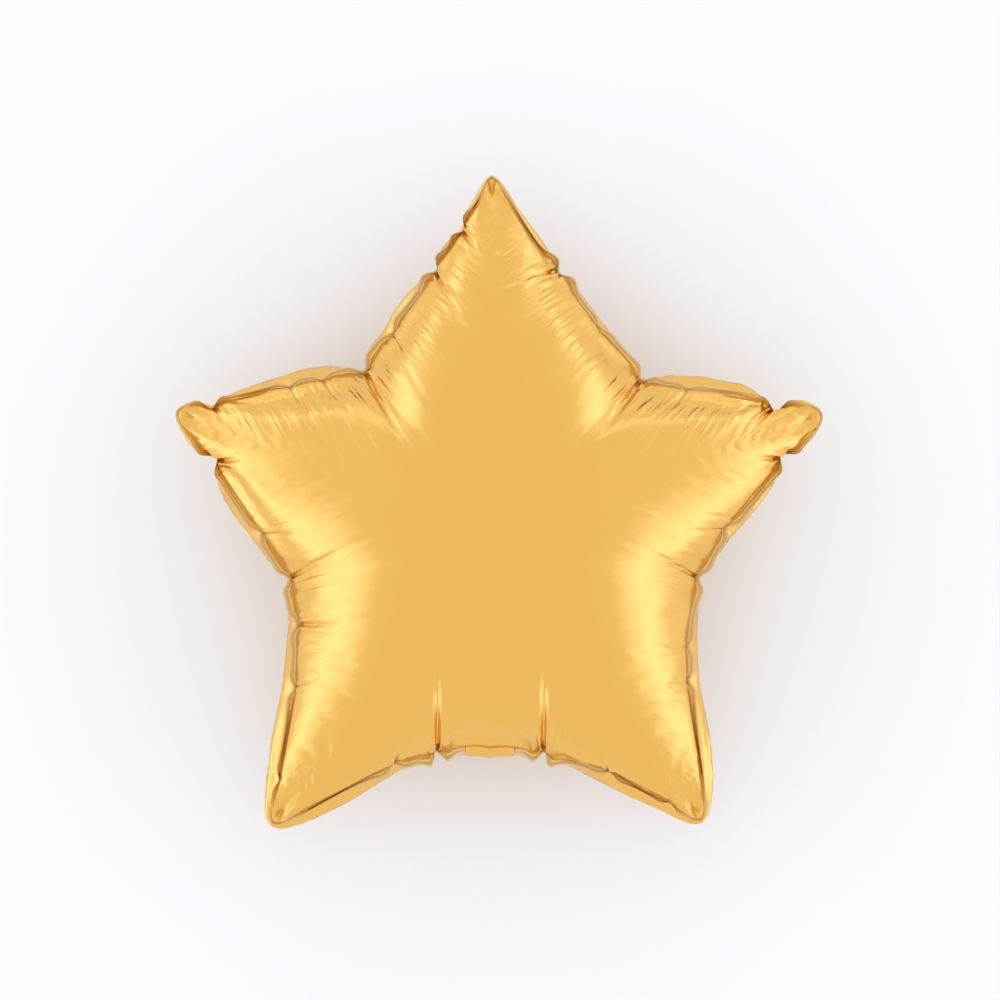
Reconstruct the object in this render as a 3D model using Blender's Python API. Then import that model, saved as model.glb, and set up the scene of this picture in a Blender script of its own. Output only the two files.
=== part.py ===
"""Star foil balloon: a sealed bag of metallised film, blown up and lying on its back.

Two star panels are heat sealed all round along a flat band. The seam is longer than the
girth of the filled bag, so it gathers: it is drawn in at the puckers, and both panels swell
past it between them. The inlet neck at the foot of the star is folded up behind the back.

Metres, +Z up. +Y runs to the top point, +X to the right as the front panel is seen.
The origin is the middle of the flat spot that the back panel rests on.
"""

import math

import bmesh
import bpy
from mathutils import Vector

# Seam line, seen from the front. A handle is how far the curve runs on square to the ray
# from the middle before it turns: a longer one makes a blunter point or a rounder corner
POINTS = 5
TIP_REACH = 0.2400
CORNER_REACH = 0.1455
TIP_HANDLE = 0.0150

# How this star departs from a regular one, for each point and each inner corner clockwise
# from the top: turns in degrees, anticlockwise positive, and shares of the reach
TIP_TURN = (0.2, 1.3, -0.4, -0.8, -2.4)
TIP_SHARE = (1.012, 1.000, 1.028, 1.056, 0.968)
CORNER_TURN = (-8.6, 4.6, -0.8, -4.2, 3.0)
CORNER_SHARE = (1.020, 1.020, 1.046, 1.014, 0.990)
CORNER_HANDLE = (0.0330, 0.0470, 0.0470, 0.0470, 0.0340)

# Swell of the panels. A round pair is a power and a root: the height falls from the ridge
# to the seam as (1 - distance ** power) ** root, along a point and along an inner corner
FRONT_RISE = 0.0740
BACK_RISE = 0.0780
SPINE_POWER = 1.5
SPINE_INSET = 0.0100
SPINE_SPREAD = 0.237
ARM_ROUND = (2.6, 0.60)
CORNER_ROUND = (2.6, 0.93)

# The middle of the star is one dome, which blends into the points between these radii
DOME_RADIUS = 0.183
DOME_POWER = 2.2
DOME_BLEND = (0.045, 0.125)

# How far the floor presses the back crown flat
REST_PRESS = 0.0032

# How far the back panel swells past the seam, anticlockwise and clockwise of each point
BACK_BELLY = (
    (0.0220, 0.0163),
    (0.0240, 0.0170),
    (0.0165, 0.0155),
    (0.0165, 0.0175),
    (0.0200, 0.0235),
)
FRONT_BELLY_SHARE = 0.10
BELLY_WIDTH = (0.060, 0.075, 0.035, 0.035, 0.075)
BELLY_BLEND = 0.20

# How far the free seam lies in from its plan curve, anticlockwise and clockwise of each
# point: a third of the way from the point, and a third of the way from the inner corner
SEAM_INSET = (
    ((0.0085, -0.0012), (0.0063, 0.0018)),
    ((-0.0010, -0.0025), (0.0000, -0.0007)),
    ((0.0020, 0.0060), (0.0060, 0.0045)),
    ((0.0035, 0.0055), (0.0042, 0.0044)),
    ((0.0010, -0.0030), (0.0028, -0.0035)),
)
SEAM_LIFT = 0.0060

# Heat-sealed band. It tilts forward by this many degrees where the film is free, and back
# by the rest share of that at a deep pucker
BAND_WIDTH = 0.0050
BAND_THICKNESS = 0.0008
BAND_TILT = 38.0
BAND_REST_SHARE = 0.80

# Puckers: point, side (1 clockwise, -1 anticlockwise of its axis), place from the point (0)
# to the inner corner (1), depth, width, length and slant of the groove
PUCKERS = (
    (0, 1, 0.47, 0.0080, 0.0060, 0.042, -0.30),
    (0, 1, 0.74, 0.0026, 0.0050, 0.045, 0.35),
    (0, 1, 1.00, 0.0055, 0.0050, 0.060, 0.10),
    (1, -1, 0.74, 0.0020, 0.0045, 0.045, 0.10),
    (1, -1, 0.25, 0.0075, 0.0050, 0.022, 0.10),
    (1, 1, 0.28, 0.0075, 0.0050, 0.022, 0.20),
    (1, 1, 0.72, 0.0045, 0.0050, 0.042, 0.25),
    (1, 1, 1.00, 0.0050, 0.0050, 0.075, -0.15),
    (2, -1, 0.72, 0.0026, 0.0042, 0.030, 0.00),
    (2, -1, 0.58, 0.0030, 0.0045, 0.032, -0.20),
    (2, 1, 0.16, 0.0024, 0.0045, 0.016, 0.00),
    (2, 1, 0.46, 0.0034, 0.0048, 0.026, 0.30),
    (2, 1, 0.76, 0.0090, 0.0036, 0.062, 0.05),
    (3, -1, 0.77, 0.0090, 0.0036, 0.062, 0.05),
    (3, -1, 0.58, 0.0055, 0.0050, 0.030, 0.35),
    (3, 1, 0.18, 0.0024, 0.0045, 0.016, 0.20),
    (3, 1, 0.56, 0.0034, 0.0048, 0.032, 0.20),
    (3, 1, 0.82, 0.0045, 0.0052, 0.055, -0.10),
    (3, 1, 1.00, 0.0050, 0.0050, 0.075, 0.15),
    (4, -1, 0.73, 0.0040, 0.0050, 0.040, 0.25),
    (4, -1, 0.30, 0.0075, 0.0052, 0.022, 0.20),
    (4, 1, 0.18, 0.0065, 0.0050, 0.018, 0.00),
    (4, 1, 0.60, 0.0028, 0.0045, 0.048, 0.05),
    (4, 1, 0.78, 0.0032, 0.0048, 0.052, 0.05),
    (4, 1, 1.00, 0.0060, 0.0055, 0.080, -0.10),
    (0, -1, 0.80, 0.0040, 0.0055, 0.058, 0.20),
    (0, -1, 0.47, 0.0080, 0.0055, 0.042, 0.25),
    (0, -1, 0.26, 0.0065, 0.0050, 0.026, 0.10),
)
PUCKER_SHOULDER = 0.14
PUCKER_FADE = 0.9
PUCKER_SPREAD = 0.7

# A pucker this deep holds the back panel in fully, over this reach along the seam. A
# shallower one holds it by a power of its depth, the first along an edge and the second at
# an inner corner
FULL_HOLD_DEPTH = 0.0070
HOLD_POWER = (5.0, 2.0)

# A pucker that doesn't hold the back panel runs in over it by this share of its length
BACK_GROOVE_SHARE = 0.12
HOLD_REACH = 0.0130

# Fine gathers along the seam
GATHER_PITCH = 0.0205
GATHER_DEPTH = 0.0006
GATHER_LENGTH = 0.045

# Inlet neck, folded up behind the inner corner at the foot of the star. It stands proud of
# the back panel and is bedded into it. Its roll over the band has an outer and an inner
# half axis pair, and it takes up with the panels at the first row
NECK_CORNER = 2
NECK_WIDTH = 0.0340
NECK_END_WIDTH = 0.0290
NECK_LENGTH = 0.0520
NECK_STAND = 0.0013
NECK_BED = 0.0026
NECK_TUCK = 0.0008
NECK_ROLL = (0.0064, 0.0032)
NECK_HEART = (0.0020, 0.0012)
NECK_FIRST_ROW = 1.3

# Mesh of each half point: columns from the seam to the ridge, and rows across them
COLUMNS = 27
ROWS = 8
WELD = 0.00002
TIP_CROWDING = 1.6
PUCKER_CROWDING = 2.2
PUCKER_CROWDING_WIDTH = 0.0075
EDGE_SAMPLES = 96
NECK_COLUMNS = 8
NECK_ROWS = 8
ROLL_ROWS = 6

GOLD = (0.82, 0.49, 0.12, 1.0)
GOLD_ROUGHNESS = 0.24

SEAM_HEIGHT = BACK_RISE + BAND_THICKNESS / 2 - REST_PRESS


def clear_scene():
    for thing in list(bpy.data.objects):
        bpy.data.objects.remove(thing)


def polar(radius, degrees):
    angle = math.radians(degrees)
    return Vector((radius * math.cos(angle), radius * math.sin(angle)))


def tip_angle(point):
    return 90.0 - 360.0 / POINTS * point + TIP_TURN[point]


def corner_angle(corner):
    return 90.0 - 360.0 / POINTS * (corner + 0.5) + CORNER_TURN[corner]


def tip_place(point):
    return polar(TIP_REACH * TIP_SHARE[point], tip_angle(point))


def corner_place(corner):
    return polar(CORNER_REACH * CORNER_SHARE[corner], corner_angle(corner))


def corner_beside(point, side):
    """The inner corner clockwise (side 1) or anticlockwise (side -1) of a point."""
    return point if side > 0 else (point - 1) % POINTS


class Edge:
    """The seam between one point and one inner corner, as a smooth plan curve."""

    def __init__(self, point, side):
        self.point = point
        self.side = side
        corner = corner_beside(point, side)
        tip, inner = tip_place(point), corner_place(corner)
        along_tip = polar(1.0, tip_angle(point) - 90.0 * side)
        along_corner = polar(1.0, corner_angle(corner) + 90.0 * side)
        self.knots = (
            tip,
            tip + along_tip * TIP_HANDLE,
            inner + along_corner * CORNER_HANDLE[corner],
            inner,
        )
        places = [self.bezier(i / EDGE_SAMPLES) for i in range(EDGE_SAMPLES + 1)]
        self.reach = [0.0]
        for before, after in zip(places, places[1:]):
            self.reach.append(self.reach[-1] + (after - before).length)
        self.length = self.reach[-1]
        self.shares = self.column_shares()

    def bezier(self, t):
        a, b, c, d = self.knots
        s = 1.0 - t
        return a * s**3 + b * (3 * s * s * t) + c * (3 * s * t * t) + d * t**3

    def parameter(self, share):
        """The curve's parameter at this share of its length, from the point to the corner."""
        target = share * self.length
        i = 0
        while i < EDGE_SAMPLES - 1 and self.reach[i + 1] < target:
            i += 1
        step = self.reach[i + 1] - self.reach[i]
        return (i + (target - self.reach[i]) / step) / EDGE_SAMPLES

    def place(self, share):
        return self.bezier(self.parameter(share))

    def inset(self, share):
        """How far the free seam lies in from its plan curve, fading out at both ends."""
        near_point, near_corner = SEAM_INSET[self.point][0 if self.side < 0 else 1]
        return 6.75 * share * (1.0 - share) * (near_point * (1.0 - share) + near_corner * share)

    def outward(self, share):
        """The plan direction out of the star, square to the seam."""
        a, b, c, d = self.knots
        t = self.parameter(share)
        s = 1.0 - t
        run = (b - a) * s * s + (c - b) * (2 * s * t) + (d - c) * t * t
        run.normalize()
        return Vector((-run.y, run.x)) * self.side

    def crowding(self, share):
        """How closely the mesh columns stand here: closer at the point and at puckers."""
        crowd = 1.0 + TIP_CROWDING * (1.0 - share) ** 6
        for point, side, place, depth, _, _, _ in PUCKERS:
            if corner_beside(point, side) == corner_beside(self.point, self.side):
                own = (point, side) == (self.point, self.side)
                if own or place == 1.0:
                    offset = (share - place) * self.length / PUCKER_CROWDING_WIDTH
                    weight = min(1.0, depth / FULL_HOLD_DEPTH)
                    crowd += PUCKER_CROWDING * weight * math.exp(-offset * offset)
        return crowd

    def column_shares(self):
        """The share of the edge's length at which each mesh column starts."""
        total = [0.0]
        for i in range(EDGE_SAMPLES):
            total.append(total[-1] + self.crowding((i + 0.5) / EDGE_SAMPLES))
        shares = [0.0]
        i = 0
        for column in range(1, COLUMNS):
            target = total[-1] * column / COLUMNS
            while total[i + 1] < target:
                i += 1
            part = (target - total[i]) / (total[i + 1] - total[i])
            shares.append((i + part) / EDGE_SAMPLES)
        shares.append(1.0)
        return shares

    def share(self, column):
        """The share at which a column starts, also between whole columns."""
        i = min(int(column), COLUMNS - 1)
        return self.shares[i] + (self.shares[i + 1] - self.shares[i]) * (column - i)

    def column(self, share):
        """The column that starts at this share."""
        i = 0
        while i < COLUMNS - 1 and self.shares[i + 1] <= share:
            i += 1
        return i + (share - self.shares[i]) / (self.shares[i + 1] - self.shares[i])


class Seam:
    """The whole seam as one closed run, clockwise from the top point, with its puckers."""

    def __init__(self):
        self.edges = {}
        for point in range(POINTS):
            for side in (-1, 1):
                self.edges[point, side] = Edge(point, side)
        self.tips = []
        run = 0.0
        for point in range(POINTS):
            self.tips.append(run)
            following = (point + 1) % POINTS
            run += self.edges[point, 1].length + self.edges[following, -1].length
        self.length = run
        self.puckers = []
        for point, side, share, depth, width, length, slant in PUCKERS:
            centre = self.run(self.edges[point, side], share)
            power = HOLD_POWER[1] if share == 1.0 else HOLD_POWER[0]
            self.puckers.append((centre, depth, width, length, slant * side, power))
        self.gathers = round(self.length / GATHER_PITCH)
        self.neck_run = self.run(self.edges[NECK_CORNER, 1], 1.0)

    def ridge(self, point, column):
        """Where the columns from both of a point's edges meet, on its ridge."""
        share = (self.edges[point, 1].share(column) + self.edges[point, -1].share(column)) / 2
        tip = tip_place(point)
        start = SPINE_INSET / tip.length
        travel = (1.0 - SPINE_SPREAD) * share + SPINE_SPREAD * share**3
        return tip * (1.0 - (start + (1.0 - start) * travel))

    def run(self, edge, share):
        """The distance along the seam of this share of an edge."""
        return self.tips[edge.point] + edge.side * share * edge.length

    def gap(self, run, centre):
        """The shorter way along the closed seam from one place to another."""
        half = self.length / 2
        return (run - centre + half) % self.length - half

    def groove(self, run, inward, front):
        """How far the film is pushed in, at this run and this distance in from the seam."""
        depth = 0.0
        for centre, deep, width, length, slant, power in self.puckers:
            if not front:
                hold = min(1.0, deep / FULL_HOLD_DEPTH) ** power
                length *= BACK_GROOVE_SHARE + (1.0 - BACK_GROOVE_SHARE) * hold
            if inward < length:
                spread = width * (1.0 + PUCKER_SPREAD * inward / length)
                offset = (self.gap(run, centre) - slant * inward) / spread
                valley = math.exp(-offset * offset)
                shoulder = math.exp(-((abs(offset) - 1.9) ** 2))
                fade = (1.0 - inward / length) ** PUCKER_FADE
                depth += deep * fade * (valley - PUCKER_SHOULDER * shoulder)
        if inward < GATHER_LENGTH:
            gather = math.cos(2.0 * math.pi * self.gathers * run / self.length)
            depth += GATHER_DEPTH * gather * (1.0 - inward / GATHER_LENGTH)
        return depth

    def freedom(self, run):
        """0 at a deep pucker, rising to 1 where the film is free to swell past the seam."""
        free = 1.0
        for centre, deep, _, _, _, power in self.puckers:
            hold = min(1.0, deep / FULL_HOLD_DEPTH) ** power
            free *= 1.0 - hold * math.exp(-((self.gap(run, centre) / HOLD_REACH) ** 2))
        return free

    def belly(self, edge, share):
        """The back panel's swell past the seam, blended where two edges meet."""
        own = BACK_BELLY[edge.point][0 if edge.side < 0 else 1]
        over_tip = BACK_BELLY[edge.point][0 if edge.side > 0 else 1]
        next_point = (edge.point + edge.side) % POINTS
        over_corner = BACK_BELLY[next_point][0 if edge.side > 0 else 1]
        at_tip = max(0.0, 1.0 - share / BELLY_BLEND) / 2
        at_corner = max(0.0, 1.0 - (1.0 - share) / BELLY_BLEND) / 2
        return own * (1.0 - at_tip - at_corner) + over_tip * at_tip + over_corner * at_corner


def dome_weight(radius):
    """1 in the middle of the star, easing to 0 where the points and valleys take over."""
    near, far = DOME_BLEND
    t = min(1.0, max(0.0, (far - radius) / (far - near)))
    return t * t * (3.0 - 2.0 * t)


def panel_point(seam, edge, share, row, front):
    """A point of a panel: row 0 is at the seam and the last row is on the ridge."""
    run = seam.run(edge, share)
    free = seam.freedom(run)
    rim = edge.place(share) - edge.outward(share) * (edge.inset(share) * free)
    ridge = seam.ridge(edge.point, edge.column(share))
    rise = FRONT_RISE if front else BACK_RISE

    turn = math.pi / 2 * row / ROWS
    across = max(0.0, math.cos(turn))
    plan = ridge + (rim - ridge) * across
    tip = tip_place(edge.point)
    along = min(1.0, max(0.0, plan.dot(tip) / tip.length_squared))
    along += (ridge.length / tip.length - along) * share**4
    peak = rise * (1.0 - along**SPINE_POWER)
    blend = share**3
    power = ARM_ROUND[0] + (CORNER_ROUND[0] - ARM_ROUND[0]) * blend
    root = ARM_ROUND[1] + (CORNER_ROUND[1] - ARM_ROUND[1]) * blend
    height = peak * max(0.0, 1.0 - across**power) ** root
    off_centre = plan.length
    dome = rise * (1.0 - (off_centre / DOME_RADIUS) ** DOME_POWER)
    height += (dome - height) * dome_weight(off_centre)

    width = (rim - ridge).length
    push = seam.groove(run, width * (1.0 - across) + 0.5 * height, front)
    belly = seam.belly(edge, share) * min(1.0, width / BELLY_WIDTH[edge.point])
    if front:
        belly *= FRONT_BELLY_SHARE
    swell = belly * free * math.sin(2.0 * turn) * across * 1.3
    plan = plan + edge.outward(share) * (swell - push * across)
    lift = SEAM_LIFT * free * across**2
    side = 1.0 if front else -1.0
    z = side * (height - push * math.sin(2.0 * turn) * 0.8) + lift
    z += side * BAND_THICKNESS / 2
    return Vector((plan.x, plan.y, SEAM_HEIGHT + z))


def band_point(seam, edge, share, face):
    """The band's outer edge; face is 1 on the front and -1 on the back."""
    run = seam.run(edge, share)
    front = panel_point(seam, edge, share, 0, True)
    back = panel_point(seam, edge, share, 0, False)
    out = edge.outward(share)
    beside_neck = math.exp(-((seam.gap(run, seam.neck_run) / (NECK_WIDTH * 0.6)) ** 6))
    free = seam.freedom(run)
    tilt = BAND_TILT * (free - BAND_REST_SHARE * (1.0 - free))
    tilt = math.radians(tilt * (1.0 - beside_neck))
    reach = BAND_WIDTH * math.cos(tilt)
    rise = BAND_WIDTH * math.sin(tilt) + face * BAND_THICKNESS / 2
    return (front + back) / 2 + Vector((out.x * reach, out.y * reach, rise))


def shaped_grid(bm, columns, rows, place, flipped):
    """A grid primitive whose corner (i, j) is moved to place(i, j)."""
    made = bmesh.ops.create_grid(bm, x_segments=columns, y_segments=rows, size=0.5)
    for vert in made["verts"]:
        i = round((vert.co.x + 0.5) * columns)
        j = round((vert.co.y + 0.5) * rows)
        vert.co = place(i, j)
    if flipped:
        faces = {face for vert in made["verts"] for face in vert.link_faces}
        bmesh.ops.reverse_faces(bm, faces=list(faces))


def finished_mesh(bm, name):
    """Weld the grids into one closed surface that faces outward."""
    bmesh.ops.remove_doubles(bm, verts=bm.verts, dist=WELD)
    bmesh.ops.dissolve_degenerate(bm, edges=bm.edges, dist=0.00001)
    bmesh.ops.recalc_face_normals(bm, faces=bm.faces)
    mesh = bpy.data.meshes.new(name)
    bm.to_mesh(mesh)
    bm.free()
    return mesh


def envelope_mesh(seam):
    """The bag: a front and a back grid for each half point, and the band between them."""
    bm = bmesh.new()
    for edge in seam.edges.values():

        def front(i, j):
            return panel_point(seam, edge, edge.shares[i], j, True)

        def back(i, j):
            return panel_point(seam, edge, edge.shares[i], j, False)

        def band(i, j):
            if j == 0:
                return front(i, 0)
            if j == 3:
                return back(i, 0)
            return band_point(seam, edge, edge.shares[i], 1 if j == 1 else -1)

        shaped_grid(bm, COLUMNS, ROWS, front, edge.side < 0)
        shaped_grid(bm, COLUMNS, ROWS, back, edge.side > 0)
        shaped_grid(bm, COLUMNS, 3, band, edge.side > 0)
    for vert in bm.verts:
        vert.co.z = max(0.0, vert.co.z)
    return finished_mesh(bm, "balloon_envelope")


def neck_film(seam, offset, row, front):
    """A panel point at an offset along the seam from the neck's corner, and its normal."""

    def film(along, level):
        if along < 0.0:
            edge = seam.edges[NECK_CORNER, 1]
        else:
            edge = seam.edges[(NECK_CORNER + 1) % POINTS, -1]
        return panel_point(seam, edge, 1.0 - abs(along) / edge.length, level, front)

    here = film(offset, row)
    across = film(offset + 0.001, row) - film(offset - 0.001, row)
    down = film(offset, row + 0.1) - here
    normal = across.cross(down).normalized()
    if front != (normal.z > 0.0):
        normal.negate()
    return here, normal


def neck_end_row(seam):
    """The row of the back panel that the neck reaches from the seam."""
    row = 0.0
    gone = 0.0
    here = neck_film(seam, 0.0, row, False)[0]
    while gone < NECK_LENGTH:
        row += 0.05
        further = neck_film(seam, 0.0, row, False)[0]
        gone += (further - here).length
        here = further
    return row


def neck_mesh(seam):
    """A flat tube that rolls over the band and lies up the back panel, bedded into it."""
    bm = bmesh.new()
    last_row = neck_end_row(seam)
    rows = 1 + ROLL_ROWS + NECK_ROWS

    def outward(offset):
        side = 1 if offset < 0.0 else -1
        edge = seam.edges[(NECK_CORNER + (side < 0)) % POINTS, side]
        return edge.outward(1.0 - abs(offset) / edge.length).to_3d()

    def place(i, j, outer):
        travel = max(0.0, (j - 1 - ROLL_ROWS) / NECK_ROWS)
        width = NECK_WIDTH + (NECK_END_WIDTH - NECK_WIDTH) * travel
        offset = (i / NECK_COLUMNS - 0.5) * width
        if j == 0:
            point, normal = neck_film(seam, offset, NECK_FIRST_ROW, True)
            return point - normal * (NECK_TUCK if outer else NECK_TUCK + NECK_BED)
        if j <= ROLL_ROWS:
            turn = math.pi / 2 - math.pi * (j - 0.5) / ROLL_ROWS
            reach, rise = NECK_ROLL if outer else NECK_HEART
            rim = neck_film(seam, offset, 0.0, True)[0]
            if not outer:
                rim = rim - outward(offset) * 2.0 * reach
            up = Vector((0.0, 0.0, rise * math.sin(turn)))
            return rim + outward(offset) * reach * math.cos(turn) + up
        row = NECK_FIRST_ROW + (last_row - NECK_FIRST_ROW) * travel
        point, normal = neck_film(seam, offset, row, False)
        return point + normal * (NECK_STAND if outer else -NECK_BED)

    shaped_grid(bm, NECK_COLUMNS, rows, lambda i, j: place(i, j, True), False)
    shaped_grid(bm, NECK_COLUMNS, rows, lambda i, j: place(i, j, False), False)
    for end in (0, NECK_COLUMNS):
        shaped_grid(bm, 1, rows, lambda i, j: place(end, j, i == 0), False)
    for end in (0, rows):
        shaped_grid(bm, NECK_COLUMNS, 1, lambda i, j: place(i, end, j == 0), False)
    return finished_mesh(bm, "inlet_neck")


def make_material():
    gold = bpy.data.materials.new("gold_foil")
    gold.use_nodes = True
    shader = gold.node_tree.nodes["Principled BSDF"]
    shader.inputs["Base Color"].default_value = GOLD
    shader.inputs["Metallic"].default_value = 1.0
    shader.inputs["Roughness"].default_value = GOLD_ROUGHNESS
    return gold


def main():
    clear_scene()
    balloon = bpy.data.collections.new("star_foil_balloon")
    operands = bpy.data.collections.new("joined_shapes")
    for collection in (balloon, operands):
        bpy.context.scene.collection.children.link(collection)
    gold = make_material()
    seam = Seam()

    neck = bpy.data.objects.new("inlet_neck", neck_mesh(seam))
    operands.objects.link(neck)
    neck.data.materials.append(gold)
    neck.hide_render = True
    neck.display_type = "WIRE"

    envelope = bpy.data.objects.new("balloon_envelope", envelope_mesh(seam))
    balloon.objects.link(envelope)
    envelope.data.materials.append(gold)
    envelope.data.shade_smooth()
    envelope.data.set_sharp_from_angle(angle=math.radians(50.0))
    join = envelope.modifiers.new("join_neck", "BOOLEAN")
    join.operation = "UNION"
    join.solver = "EXACT"
    join.object = neck


main()
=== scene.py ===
"""Looks of the star foil balloon: the film as it gathers when the bag is blown up.

The film starts as a smooth full bag. Blender's cloth simulation presses on it from inside
while its seal is pushed in at the pinches, and the folds that this makes are laid, capped,
on the full bag's own shape. The creases and gathers that are narrower than the simulated
mesh are pressed into the result by formula afterwards.
"""

import math
from collections import namedtuple

import bmesh
import bpy
import numpy as np
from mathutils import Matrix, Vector


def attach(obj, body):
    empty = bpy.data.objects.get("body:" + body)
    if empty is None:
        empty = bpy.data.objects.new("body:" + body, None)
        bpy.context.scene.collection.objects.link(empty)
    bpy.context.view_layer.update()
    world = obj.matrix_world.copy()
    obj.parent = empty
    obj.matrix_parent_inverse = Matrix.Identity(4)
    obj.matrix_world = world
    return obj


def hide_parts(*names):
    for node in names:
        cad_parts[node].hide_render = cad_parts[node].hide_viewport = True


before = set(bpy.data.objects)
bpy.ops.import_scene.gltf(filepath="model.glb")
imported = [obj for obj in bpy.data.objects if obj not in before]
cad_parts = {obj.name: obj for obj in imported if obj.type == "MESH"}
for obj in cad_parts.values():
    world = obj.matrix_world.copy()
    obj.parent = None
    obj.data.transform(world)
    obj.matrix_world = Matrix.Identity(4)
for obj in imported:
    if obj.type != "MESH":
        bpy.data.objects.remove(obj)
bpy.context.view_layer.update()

bl_info = {
    "name": "Star foil balloon looks",
    "version": (1, 0, 0),
    "blender": (4, 5, 0),
    "location": "View3D > Sidebar > Balloon",
    "description": "Blows up the film of a star foil balloon and sets it on a plain stage",
    "category": "Object",
}

NODE = "balloon_envelope"

# The seal's plan: how far each point and each inner corner turns and reaches from a regular
# star's, and the handles of its curves
POINTS = 5
TIP_TURN = (0.2, 1.3, -0.4, -0.8, -2.4)
TIP_SHARE = (1.012, 1.000, 1.028, 1.056, 0.968)
CORNER_TURN = (-8.6, 4.6, -0.8, -4.2, 3.0)
CORNER_SHARE = (1.020, 1.020, 1.046, 1.014, 0.990)
CORNER_HANDLE = (0.0330, 0.0470, 0.0470, 0.0470, 0.0340)
TIP_HANDLE = 0.0150
PLAN_STEPS = 400
# Where a point's ridge starts in from its tip, and how its columns crowd there
SPINE_INSET = 0.0100
SPINE_SPREAD = 0.237

# Deep pinches of the seam: point, side (1 clockwise, -1 anticlockwise of its axis), place
# from the point (0) to the inner corner (1), depth, width, length and slant
PUCKERS = (
    (0, 1, 0.47, 0.0080, 0.0060, 0.042, -0.30),
    (0, 1, 0.74, 0.0026, 0.0050, 0.045, 0.35),
    (0, 1, 1.00, 0.0055, 0.0050, 0.060, 0.10),
    (1, -1, 0.74, 0.0020, 0.0045, 0.045, 0.10),
    (1, -1, 0.25, 0.0075, 0.0050, 0.022, 0.10),
    (1, 1, 0.28, 0.0075, 0.0050, 0.022, 0.20),
    (1, 1, 0.72, 0.0045, 0.0050, 0.042, 0.25),
    (1, 1, 1.00, 0.0050, 0.0050, 0.075, -0.15),
    (2, -1, 0.72, 0.0026, 0.0042, 0.030, 0.00),
    (2, -1, 0.58, 0.0030, 0.0045, 0.032, -0.20),
    (2, 1, 0.16, 0.0024, 0.0045, 0.016, 0.00),
    (2, 1, 0.46, 0.0034, 0.0048, 0.026, 0.30),
    (2, 1, 0.76, 0.0090, 0.0036, 0.062, 0.05),
    (3, -1, 0.77, 0.0090, 0.0036, 0.062, 0.05),
    (3, -1, 0.58, 0.0055, 0.0050, 0.030, 0.35),
    (3, 1, 0.18, 0.0024, 0.0045, 0.016, 0.20),
    (3, 1, 0.56, 0.0034, 0.0048, 0.032, 0.20),
    (3, 1, 0.82, 0.0045, 0.0052, 0.055, -0.10),
    (3, 1, 1.00, 0.0050, 0.0050, 0.075, 0.15),
    (4, -1, 0.73, 0.0040, 0.0050, 0.040, 0.25),
    (4, -1, 0.30, 0.0075, 0.0052, 0.022, 0.20),
    (4, 1, 0.18, 0.0065, 0.0050, 0.018, 0.00),
    (4, 1, 0.60, 0.0028, 0.0045, 0.048, 0.05),
    (4, 1, 0.78, 0.0032, 0.0048, 0.052, 0.05),
    (4, 1, 1.00, 0.0060, 0.0055, 0.080, -0.10),
    (0, -1, 0.80, 0.0040, 0.0055, 0.058, 0.20),
    (0, -1, 0.47, 0.0080, 0.0055, 0.042, 0.25),
    (0, -1, 0.26, 0.0065, 0.0050, 0.026, 0.10),
)
# How strongly each edge of the seam is gathered on its shoulder
GATHER_SHARE = {
    (0, -1): 1.0,
    (0, 1): 1.0,
    (1, -1): 1.3,
    (1, 1): 0.55,
    (2, -1): 0.6,
    (2, 1): 0.15,
    (3, -1): 0.15,
    (3, 1): 0.6,
    (4, -1): 0.55,
    (4, 1): 1.3,
}
# From this depth a pinch holds the back panel as it does the front; the powers of its fall
# below that, on an edge and at an inner corner, and how far along the seam it acts
FULL_HOLD_DEPTH = 0.0070
HOLD_POWER = (5.0, 2.0)
HOLD_REACH = 0.0130
# A pinch that doesn't hold the back panel runs in over it by this share of its length
BACK_GROOVE_SHARE = 0.12
# The pinch's groove: its raised shoulders, their place, how it fades and how it widens
PUCKER_SHOULDER = 0.14
SHOULDER_PLACE = 1.9
PUCKER_FADE = 0.9
PUCKER_SPREAD = 0.7
# The share of the height that counts in the way in from the seam, and of the groove that
# lowers the film
HEIGHT_IN_WAY = 0.5
GROOVE_LOWERS = 0.8

# How far the back panel swells past the seam, anticlockwise and clockwise of each point, and
# how far the free seam lies in, near the point and near the corner of each of those edges
BACK_BELLY = (
    (0.0220, 0.0163),
    (0.0240, 0.0170),
    (0.0165, 0.0155),
    (0.0165, 0.0175),
    (0.0200, 0.0235),
)
SEAM_INSET = (
    ((0.0085, -0.0012), (0.0063, 0.0018)),
    ((-0.0010, -0.0025), (0.0000, -0.0007)),
    ((0.0020, 0.0060), (0.0060, 0.0045)),
    ((0.0035, 0.0055), (0.0042, 0.0044)),
    ((0.0010, -0.0030), (0.0028, -0.0035)),
)
FRONT_BELLY_SHARE = 0.10
BELLY_WIDTH = (0.060, 0.075, 0.035, 0.035, 0.075)
BELLY_BLEND = 0.20
# These bring the peaks of sin(2t) cos(t) and of s * s * (1 - s) to 1
SWELL_PEAK = 1.3
CUBIC_PEAK = 6.75
# The full bag: how its ridges fall and its sections round off, and the dome in its middle
SPINE_POWER = 1.5
ARM_ROUND = (2.6, 0.60)
CORNER_ROUND = (2.6, 0.93)
DOME_RADIUS = 0.183
DOME_POWER = 2.2
DOME_BLEND = (0.045, 0.125)
SEAM_HEIGHT = 0.0752
SEAM_LIFT = 0.0060
BAND_WIDTH = 0.0050
BAND_THICKNESS = 0.0006
# The band's tilt from the floor at the points and at the inner corners, and where it changes
BAND_TILT = (72.0, 34.0)
BAND_TURNS = (0.25, 0.65)
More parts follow.
